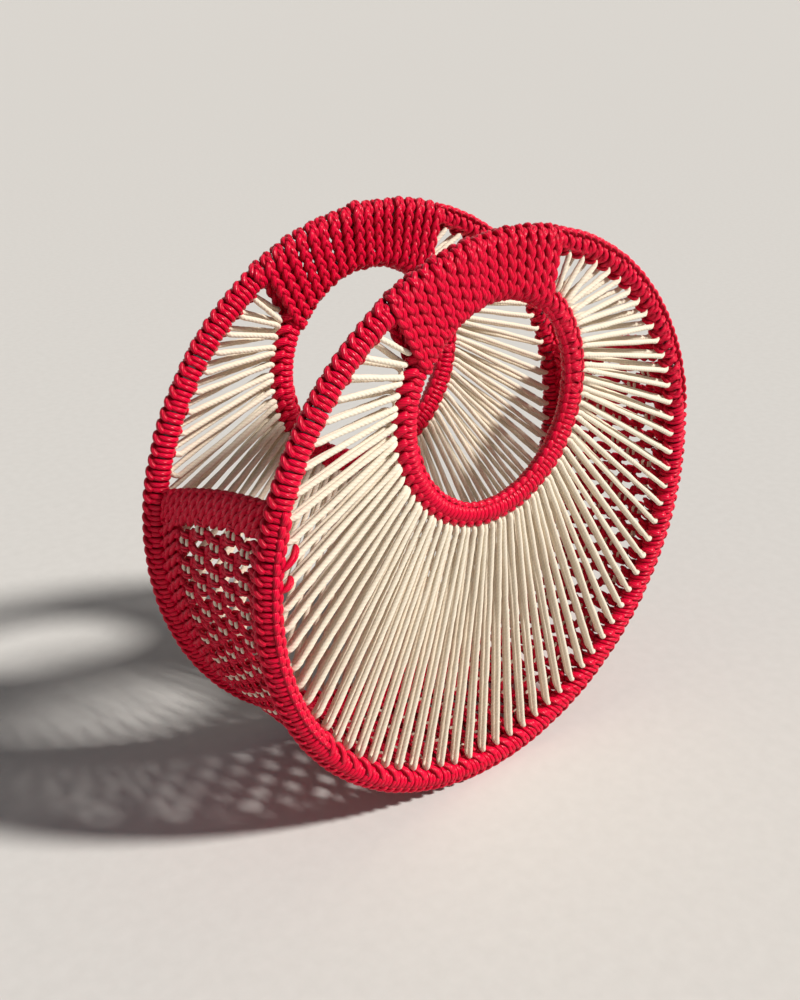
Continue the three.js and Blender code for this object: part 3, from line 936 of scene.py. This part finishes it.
def lace_line(panel, first, last, rng):
    """Corners of one length of lacing: out on the outer face, back on the inner face."""
    start, step = lace_angles(panel)

    def outer(count, radius, layer):
        return lace_point(panel, OUTER_CENTRE, radius, start + step * count, layer)

    def inner(angle, inside, layer):
        radius = np.interp(angle, *FINGERTIPS) - inside
        return lace_point(panel, INNER_CENTRE, radius, angle, layer)

    points = []
    for run in range(first, last):
        at = run + 0.5 + rng.normal(0, 0.02)
        drift = np.interp(start + step * at, *LACE_DRIFT)
        reach = np.interp(start + step * at, *LACE_REACH) + rng.normal(0, 0.3)
        front, back = inner_place(run, FRONT_SHARES), inner_place(run, BACK_SHARES)
        foot, top = inner(front, 0, 2.8), outer(at + drift, reach, 2.5)
        points += [inner(front - 0.5, 3.0, 1.2), foot, near(foot, top, 5), near(top, foot, 6), top]
        points += [outer(at + drift + 0.12, reach + 2.7, 1.3), outer(at + drift + 0.17, reach + 2.2, -1.2)]
        top, foot = outer(at + drift + 0.2, reach - 0.9, -2.5), inner(back, 0, -2.8)
        points += [top, near(top, foot, 6), near(foot, top, 5), foot, inner(back + 0.5, 3.0, -1.2)]
    return np.array(points)


def lace_path(points, rng):
    """Rounds the turns and puts a few gently shaken points on the straight runs."""
    dense = [points[:1]]
    for a, b in zip(points[:-1], points[1:]):
        gap = np.linalg.norm(b - a)
        steps = 1 if gap < LONGEST_TURN else max(3, int(gap / SHAKE_EVERY))
        share = np.linspace(0, 1, steps + 1)[1:, None]
        stretch = a + (b - a) * share
        if steps > 1:
            stretch[:-1] += rng.normal(0, 0.08, (steps - 1, 3))
        dense.append(stretch)
    return smooth_path(np.vstack(dense), 3)


# %% Lacing
LACE_LENGTHS = 5
LACE_DIAMETER = 2.9

for panel in PANELS:
    seed = PANELS[panel]["seed"]
    rng = np.random.default_rng(seed + 6)
    for length in range(LACE_LENGTHS):
        first = round(length * LACE_RUNS / LACE_LENGTHS)
        last = round((length + 1) * LACE_RUNS / LACE_LENGTHS)
        name = f"{panel}_lacing_{length + 1}"
        path = lace_path(lace_line(panel, first, last, rng), rng)
        lace = Bundle(name + "_cord", seed + length)
        lace.add(round_cord(path, LACE_DIAMETER, tip=1.5, rng=rng))
        dress(lace, cream_cord, panel + "_panel", "cream_cord", name)
        print(name, "is", round(path_length(path)), "mm of cord")

# %% [markdown]
# ## The net between the panels
# The net is alternating square knots: flat red strands run diagonally from knot to knot, and at
# every knot a cream cord crosses over them twice, which leaves two pale crescents on each face.
# The diamond holes lie between four knots. A sheet with a hole pattern would be flat where the
# knots bulge, so strands and knots are cords. The rows start parallel to the slanted bar at one
# open end and finish parallel to the bar at the other.

# %% Shape of the net
NET_HALF_WIDTH = 42.3
NET_ENDS = {"left": (160.5, 168.5), "right": (390.5, 379.5)}
BAR_ANGLE = 6.4
NET_COLUMNS = np.array([-32.0, -19.6, -6.9, 6.4, 20.0])
NET_PERIODS = 36
NET_ROWS = 2 * NET_PERIODS


def net_angle(y, row):
    """Angle round the outer hoop of a row of the net, at a depth between the panels."""
    across = (np.asarray(y) + NET_HALF_WIDTH) / (2 * NET_HALF_WIDTH)
    start = NET_ENDS["left"][0] + (NET_ENDS["left"][1] - NET_ENDS["left"][0]) * across + BAR_ANGLE
    end = NET_ENDS["right"][0] + (NET_ENDS["right"][1] - NET_ENDS["right"][0]) * across - BAR_ANGLE
    return start + (end - start) * np.asarray(row) / NET_ROWS


def on_net(y, angle, lift):
    """Points on the net at a depth, an angle and a height over its middle, and the way out there."""
    angle = np.radians(angle)
    y, angle, lift = np.broadcast_arrays(np.asarray(y, float), angle, np.asarray(lift, float))
    out = np.stack([np.cos(angle), 0 * angle, np.sin(angle)], -1)
    radius = OUTER_RADIUS + lift
    x, z = OUTER_CENTRE[0] + radius * out[..., 0], OUTER_CENTRE[1] + radius * out[..., 2]
    return np.stack([x, y, z], -1), out


def degrees_of(length):
    """Angle that goes with a length along the net."""
    return np.degrees(length / OUTER_RADIUS)


period = math.radians(net_angle(0, 2) - net_angle(0, 0)) * OUTER_RADIUS
print("one period of the net is", round(period, 1), "mm")

# %% Strands and knots
NET_SIDES = 6
SHORT_PATH = np.linspace(0, 1, 9)
STRAND_WIDTHS = [4.0, 8.0, 4.0]
STRAND_THICKNESS = 2.4
CRESCENT = 1.9
KNOT_HALF = 3.2


def add_strands(red, column, row, rng):
    """The two strands from a knot to the next column, narrow at the knots and wide between them."""
    y, other = NET_COLUMNS[column:column + 2]
    here = net_angle(y, row)
    for step in (-1, 1):
        if 0 <= row + step <= NET_ROWS:
            angle = here + (net_angle(other, row + step) - here) * SHORT_PATH
            lift = 0.3 * step * np.cos(np.pi * SHORT_PATH)
            path, out = on_net(y + (other - y) * SHORT_PATH, angle, lift)
            red.add(*plait(path, out, STRAND_WIDTHS, STRAND_THICKNESS, spacing=1.42,
                           start=rng.uniform(), sides=NET_SIDES))


def add_knot(red, cream, y, here, rng):
    """Two pale crescents on each face of a knot, and a red rung at both of their ends."""
    bulge = np.linspace(-1, 1, 9)
    arch = 1 - bulge ** 2
    for face in (1, -1):
        for side in (-1, 1):
            bow = y + side * (0.8 + 1.6 * arch) + rng.normal(0, 0.15)
            path, out = on_net(bow, here + degrees_of(KNOT_HALF) * bulge, face * (0.3 + 1.2 * arch))
            cream.add(round_cord(path, CRESCENT, sides=7, tip=3.6, pointed=True))
        for level in (-1, 1):
            angle = here + degrees_of(level * (KNOT_HALF + 0.5 * arch))
            path, out = on_net(y + 3.6 * bulge, angle, face * (0.4 + 1.7 * arch))
            red.add(*pair(path, out * face, 3.2, 2.0, tip=1.5, spacing=1.2, sides=NET_SIDES))


def add_net(red, cream, rng):
    """Every knot of the net with its strands, column by column, in the half that it belongs to."""
    for column, y in enumerate(NET_COLUMNS):
        half = "front" if y < 0 else "rear"
        for row in range((column + 1) % 2, NET_ROWS + 1, 2):
            if column + 1 < len(NET_COLUMNS):
                add_strands(red[half], column, row, rng)
            add_knot(red[half], cream[half], y, net_angle(y, row), rng)


red_net = {half: Bundle("gusset_red_" + half, 41) for half in ("front", "rear")}
cream_net = {half: Bundle("gusset_cream_" + half, 43) for half in ("front", "rear")}
add_net(red_net, cream_net, np.random.default_rng(5))
print("cords in the front half of the net:", len(red_net["front"].cords))

# %% [markdown]
# ## Borders and bars
# Slanted ribs of twisted cord tie both edges of the net to the covers, long ones at the rear and
# short ones at the front. At the open ends they lie in two crossed layers and form a thick bar
# with a plaited edge. Two crossed layers close the bar without any backing surface.

# %% Ribs of the borders
RIB_WIDTH = 5.0
RIB_THICKNESS = 3.8
RIB_STEP = 6.6
BORDERS = ((25.0, 43.8, 15.0), (-36.0, -43.8, 4.0))


def add_rib(red, from_y, from_angle, to_y, to_angle, lift=0.9, twist=16.0):
    """A slanted rib of twisted cord between two places of the net's border."""
    t = SHORT_PATH
    half = "front" if (from_y + to_y) < 0 else "rear"
    angle = from_angle + (to_angle - from_angle) * t
    path, out = on_net(from_y + (to_y - from_y) * t, angle, lift * np.sin(np.pi * t))
    turns = path_length(path) / twist
    red[half].add(*pair(path, out, RIB_WIDTH, RIB_THICKNESS, turns=turns, tip=1.5, spacing=1.3,
                        sides=NET_SIDES))


def net_borders(red):
    """Ribs on the outside, and crossed ones behind them, from the net to the covers of the hoops."""
    for from_y, to_y, slope in BORDERS:
        start, end = net_angle(from_y, 0), net_angle(from_y, NET_ROWS)
        count = int((end - start) / degrees_of(RIB_STEP))
        for k in range(count):
            angle = start + (end - start) * (k + 0.5) / count
            slant = degrees_of(slope) / 2
            add_rib(red, from_y, angle - slant, to_y, angle + slant)
            add_rib(red, from_y, angle + slant, to_y, angle - slant, lift=-2.2)


net_borders(red_net)
print("and with its border:", len(red_net["front"].cords))

# %% Bars of the open ends
BAR_DEPTH = 16.0
BAR_START = -62
BAR_PITCH = 6.8
BAR_RUN = 19.4


def bar_edge(end, y, depth):
    """Angle of a place so far below the bowed edge of an open end."""
    sign = 1 if end == "left" else -1
    bow = 2.9 * np.cos(np.asarray(y) / NET_HALF_WIDTH * np.pi / 2)
    return np.interp(y, [-NET_HALF_WIDTH, NET_HALF_WIDTH], NET_ENDS[end]) + sign * degrees_of(depth - bow)


def net_bar(red, end):
    """Two layers of slanted ribs and an edge cord close one open end of the net."""
    for y in np.arange(BAR_START, NET_HALF_WIDTH, BAR_PITCH):
        low, high = max(y, -NET_HALF_WIDTH), min(y + BAR_RUN, NET_HALF_WIDTH)
        if high - low > 5:
            near_edge, deep = ((value - y) / BAR_RUN * BAR_DEPTH + 1.0 for value in (low, high))
            add_rib(red, low, bar_edge(end, low, near_edge), high, bar_edge(end, high, deep), twist=14.0)
            near_edge, deep = BAR_DEPTH + 1 - near_edge, BAR_DEPTH + 1 - deep
            add_rib(red, low, bar_edge(end, low, near_edge), high, bar_edge(end, high, deep), lift=-2.4)
    for half, a, b in (("front", -43.5, 0.0), ("rear", 0.0, 43.5)):
        across = np.linspace(a, b, 20)
        path, out = on_net(across, bar_edge(end, across, 1.2), -0.4)
        red[half].add(*plait(path, out, 5.0, 4.4, spacing=1.4, sides=NET_SIDES))


for end in NET_ENDS:
    net_bar(red_net, end)
    print("and with the bar at the", end, "end:", len(red_net["front"].cords))

# %% [markdown]
# ## Meshes of the net
# The net is soft. It is made in two halves, front and rear; each half becomes one red and one
# cream mesh that stays where it is built, and the net's solids are hidden.

# %% Meshes of the net
GUSSET_NODES = ["gusset_left_bar", "gusset_left_net", "gusset_bottom_net", "gusset_right_net",
                "gusset_right_bar"]
for half, sign in (("front", -1), ("rear", 1)):
    cords = ((red_net[half], red_cord, "red_cord"), (cream_net[half], cream_cord, "cream_cord"))
    for bundle, material, slot_name in cords:
        piece = bundle.mesh(material)
        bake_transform(piece)
        if slot_name == "red_cord":
            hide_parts(*GUSSET_NODES)

# %% [markdown]
# ## The stage
# A plain pale floor and soft lamps show the cords as they are. The key lamp is a wide sun high on
# the right, so its shadows have soft edges, and a weak lamp fills in from the left. A small floor
# would end in plain sight from low down, so it is huge and its edge becomes the horizon.

# %% Floor
FLOOR_REACH = 150.0


def floor():
    size = FLOOR_REACH
    mesh = bpy.data.meshes.new("floor")
    corners = [(-size, -size, 0), (size, -size, 0), (size, size, 0), (-size, size, 0)]
    mesh.from_pydata(corners, [], [(0, 1, 2, 3)])
    material, tree, shader = new_material("pale_floor", 0.85, Specular_IOR_Level=0.2)
    place = add_node(tree, "ShaderNodeTexCoord").outputs["Object"]
    grain = add_node(tree, "ShaderNodeTexNoise", Vector=place, Scale=120.0, Detail=4.0).outputs["Fac"]
    colour = mix_colour(tree, grain, (0.60, 0.585, 0.56, 1), (0.66, 0.645, 0.62, 1))
    tree.links.new(colour, shader.inputs["Base Color"])
    mesh.materials.append(material)
    piece = bpy.data.objects.new("floor", mesh)
    bpy.context.scene.collection.objects.link(piece)
    return piece


print("floor, in metres:", floor().dimensions[:])

# %% Lamps
LIT_PLACE = (0, 0, 0.15)


def aim(piece, place, target):
    """Puts a lamp in its place and turns it towards the target."""
    bpy.context.scene.collection.objects.link(piece)
    piece.location = place
    direction = np.array(target) - np.array(place)
    turn = math.atan2(direction[1], direction[0])
    tilt = math.atan2(-direction[2], math.hypot(direction[0], direction[1]))
    piece.rotation_euler = (math.pi / 2 - tilt, 0, turn - math.pi / 2)


key = bpy.data.lights.new("key", "SUN")
key.energy = 4.5
key.angle = math.radians(7)
key.color = (1.0, 0.97, 0.93)
aim(bpy.data.objects.new("key", key), (1.5, -2.2, 2.6), LIT_PLACE)
fill = bpy.data.lights.new("fill", "AREA")
fill.energy = 4
fill.size = 1.8
fill.color = (0.93, 0.96, 1.0)
aim(bpy.data.objects.new("fill", fill), (-2.6, -1.4, 1.8), LIT_PLACE)
print("strengths of the lamps:", key.energy, fill.energy)

# %% [markdown]
# ## The world
# The world gives a weak, even light. A bright one would wash out the red, and a dark one would
# turn the background black. So the rays that come from the camera, and those that a glossy or
# clear surface sends on, meet a pale wall instead, which sheds no light on the cords.

# %% World
world = bpy.data.worlds.new("studio")
bpy.context.scene.world = world
world.use_nodes = True
tree = world.node_tree
soft_light = tree.nodes["Background"]
soft_light.inputs[0].default_value = (0.95, 0.96, 1.0, 1)
soft_light.inputs[1].default_value = 0.13
pale_wall = tree.nodes.new("ShaderNodeBackground")
pale_wall.inputs[0].default_value = (0.68, 0.665, 0.64, 1)
rays = tree.nodes.new("ShaderNodeLightPath").outputs
seen = math_node(tree, "MAXIMUM", rays["Is Camera Ray"], rays["Is Glossy Ray"])
seen = math_node(tree, "MAXIMUM", seen, rays["Is Transmission Ray"])
either = tree.nodes.new("ShaderNodeMixShader")
tree.links.new(seen, either.inputs[0])
tree.links.new(soft_light.outputs[0], either.inputs[1])
tree.links.new(pale_wall.outputs[0], either.inputs[2])
tree.links.new(either.outputs[0], tree.nodes["World Output"].inputs["Surface"])
bpy.context.scene.view_settings.view_transform = "Standard"
print("light of the world:", round(soft_light.inputs[1].default_value, 2))

# %% [markdown]
# ## The camera
# It stands in front and to the left of the bag, a little above it, where the photograph was
# taken. Its place and its lens were fitted to the outlines of both hoops.

# %% Camera
CAMERA_PLACE = np.array([-0.3993, -0.4291, 0.4145])
CAMERA_TARGET = np.array([-0.0278, 0.0, 0.16112])
LENS = 40.81
SENSOR = 36
camera = bpy.data.objects.new("camera", bpy.data.cameras.new("camera"))
bpy.context.scene.collection.objects.link(camera)
camera.location = CAMERA_PLACE
view = CAMERA_TARGET - CAMERA_PLACE
pitch = math.atan2(view[2], math.hypot(view[0], view[1]))
camera.rotation_euler = (math.pi / 2 + pitch, 0, math.atan2(view[1], view[0]) - math.pi / 2)
camera.data.lens = LENS
camera.data.sensor_width = SENSOR
bpy.context.scene.camera = camera
print("the camera looks down by", round(-math.degrees(pitch), 1), "degrees")
